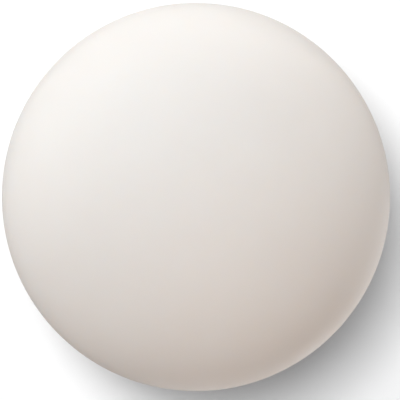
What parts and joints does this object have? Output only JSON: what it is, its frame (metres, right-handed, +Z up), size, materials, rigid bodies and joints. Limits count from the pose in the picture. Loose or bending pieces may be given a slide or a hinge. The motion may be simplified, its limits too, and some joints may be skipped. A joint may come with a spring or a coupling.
{
  "type": "cue ball",
  "caption": "Plain ivory-white cue ball of cast resin, with an iron-filled layer inside so that a magnet in the table's ball return can sort it out.",
  "frame": {"origin": "centre of the ball", "axes": "+Z up, away from the surface that the ball lies on; the ball is the same about every axis"},
  "size_m": [0.0572, 0.0572, 0.0572],
  "materials": {
    "polished_resin": "satin",
    "iron_filled_resin": "matte",
    "core_resin": "matte"
  },
  "bodies": {
    "root": {"outer_shell": "polished_resin", "iron_layer": "iron_filled_resin", "inner_core": "core_resin"}
  },
  "joints": []
}
